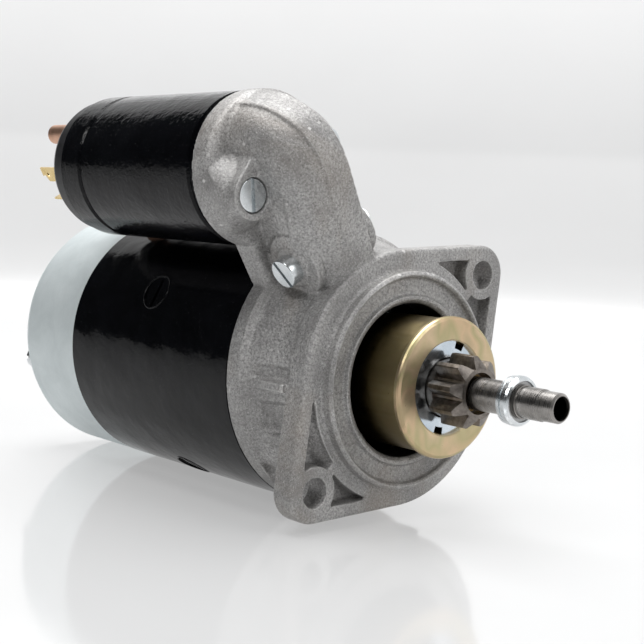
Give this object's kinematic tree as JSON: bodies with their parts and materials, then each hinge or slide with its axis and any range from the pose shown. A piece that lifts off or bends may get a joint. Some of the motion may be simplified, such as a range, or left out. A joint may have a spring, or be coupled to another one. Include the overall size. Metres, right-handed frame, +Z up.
{
  "type": "starter motor",
  "caption": "Pre-engaged starter motor: two-eared cast flange with pilot, black yoke, zinc end cap, leaned solenoid, and a sliding roller-clutch drive with pinion on a long shaft nose.",
  "frame": {"origin": "where the shaft axis crosses the flange's mating face", "axes": "+X along the shaft towards the pinion end, +Z up as the motor lies on its yoke, solenoid leaning 30 degrees from +Z towards -Y"},
  "size_m": [0.2627, 0.1246, 0.1561],
  "materials": {
    "drive_end_housing": "as cast, sandy",
    "drive_end_hump": "as cast, sandy",
    "yoke_frame": "gloss black paint",
    "pole_shoes": "bare laminations",
    "pole_shoe_screws": "gloss black paint",
    "field_coils": "varnished winding",
    "end_cap": "bright zinc plate",
    "end_cap_bushing": "sintered bronze",
    "shaft_dust_cap": "bright zinc plate",
    "through_bolts": "bright zinc plate",
    "brush_plate": "bright zinc plate",
    "brush_holders": "bright zinc plate",
    "brushes": "carbon",
    "brush_springs": "machined steel",
    "solenoid_can": "gloss black paint",
    "solenoid_guide_tube": "brass",
    "solenoid_coil": "varnished winding",
    "solenoid_core": "machined steel",
    "solenoid_end_cap": "moulded phenolic",
    "battery_terminal_stud": "copper",
    "motor_terminal_stud": "copper",
    "terminal_nuts": "bright zinc plate",
    "spade_terminals": "brass",
    "solenoid_screws": "bright zinc plate",
    "field_lead_strap": "copper",
    "motor_stud_washer": "brass",
    "field_lead_grommet": "moulded rubber",
    "lever_pivot_bolt": "bright zinc plate",
    "lever_pivot_nut": "bright zinc plate",
    "lever_seal_block": "moulded rubber",
    "armature_shaft": "machined steel",
    "armature_core": "bare laminations",
    "armature_windings": "varnished winding",
    "commutator": "copper",
    "stop_washer": "bright zinc plate",
    "stop_collar": "bright zinc plate",
    "snap_ring": "machined steel",
    "driver_sleeve": "machined steel",
    "fork_ring": "bright zinc plate",
    "clutch_shell": "yellow zinc chromate",
    "clutch_front_washer": "yellow zinc chromate",
    "clutch_tab_washer": "bright zinc plate",
    "clutch_rollers": "machined steel",
    "clutch_roller_springs": "machined steel",
    "meshing_spring": "machined steel",
    "pinion_gear": "machined steel",
    "pinion_bushing": "sintered bronze",
    "shift_lever": "bright zinc plate",
    "solenoid_plunger": "machined steel",
    "plunger_link_pin": "machined steel",
    "plunger_return_spring": "machined steel",
    "contact_rod": "machined steel",
    "contact_disc": "copper"
  },
  "bodies": {
    "root": {"drive_end_housing": "drive_end_housing", "drive_end_hump": "drive_end_hump", "yoke_frame": "yoke_frame", "pole_shoes": "pole_shoes", "pole_shoe_screws": "pole_shoe_screws", "field_coils": "field_coils", "end_cap": "end_cap", "end_cap_bushing": "end_cap_bushing", "shaft_dust_cap": "shaft_dust_cap", "through_bolts": "through_bolts", "brush_plate": "brush_plate", "brush_holders": "brush_holders", "brushes": "brushes", "brush_springs": "brush_springs", "solenoid_can": "solenoid_can", "solenoid_guide_tube": "solenoid_guide_tube", "solenoid_coil": "solenoid_coil", "solenoid_core": "solenoid_core", "solenoid_end_cap": "solenoid_end_cap", "battery_terminal_stud": "battery_terminal_stud", "motor_terminal_stud": "motor_terminal_stud", "terminal_nuts": "terminal_nuts", "spade_terminals": "spade_terminals", "solenoid_screws": "solenoid_screws", "field_lead_strap": "field_lead_strap", "motor_stud_washer": "motor_stud_washer", "field_lead_grommet": "field_lead_grommet", "lever_pivot_bolt": "lever_pivot_bolt", "lever_pivot_nut": "lever_pivot_nut", "lever_seal_block": "lever_seal_block"},
    "armature": {"armature_shaft": "armature_shaft", "armature_core": "armature_core", "armature_windings": "armature_windings", "commutator": "commutator", "stop_washer": "stop_washer", "stop_collar": "stop_collar", "snap_ring": "snap_ring"},
    "drive": {"driver_sleeve": "driver_sleeve", "fork_ring": "fork_ring", "clutch_shell": "clutch_shell", "clutch_front_washer": "clutch_front_washer", "clutch_tab_washer": "clutch_tab_washer", "clutch_rollers": "clutch_rollers", "clutch_roller_springs": "clutch_roller_springs", "meshing_spring": "meshing_spring"},
    "pinion": {"pinion_gear": "pinion_gear", "pinion_bushing": "pinion_bushing"},
    "lever": {"shift_lever": "shift_lever"},
    "plunger": {"solenoid_plunger": "solenoid_plunger", "plunger_link_pin": "plunger_link_pin", "plunger_return_spring": "plunger_return_spring"},
    "contact": {"contact_rod": "contact_rod", "contact_disc": "contact_disc"}
  },
  "joints": [
    {"name": "armature_spin", "type": "hinge", "parent": "root", "child": "armature", "pos_m": [0, 0, 0], "axis": [1, 0, 0], "continuous": true},
    {"name": "drive_slide", "type": "slide", "parent": "armature", "child": "drive", "axis": [1, 0, 0], "range_m": [0, 0.0115], "stiffness_N_per_m": 900},
    {"name": "pinion_spin", "type": "hinge", "parent": "drive", "child": "pinion", "pos_m": [0.03, 0, 0], "axis": [1, 0, 0], "continuous": true},
    {"name": "lever_swing", "type": "hinge", "parent": "root", "child": "lever", "pos_m": [-0.016, -0.02775, 0.04806], "axis": [0, -0.866, -0.5], "range_deg": [0, 14]},
    {"name": "plunger_slide", "type": "slide", "parent": "root", "child": "plunger", "axis": [-1, 0, 0], "range_m": [0, 0.0074]},
    {"name": "contact_slide", "type": "slide", "parent": "root", "child": "contact", "axis": [-1, 0, 0], "range_m": [0, 0.0031]}
  ],
  "couplings": [
    {"joint": "lever_swing", "follows": "drive_slide", "rad_per_m": 21.053},
    {"joint": "plunger_slide", "follows": "drive_slide", "ratio": 0.64211},
    {"joint": "contact_slide", "follows": "drive_slide", "ratio": 0.26}
  ]
}
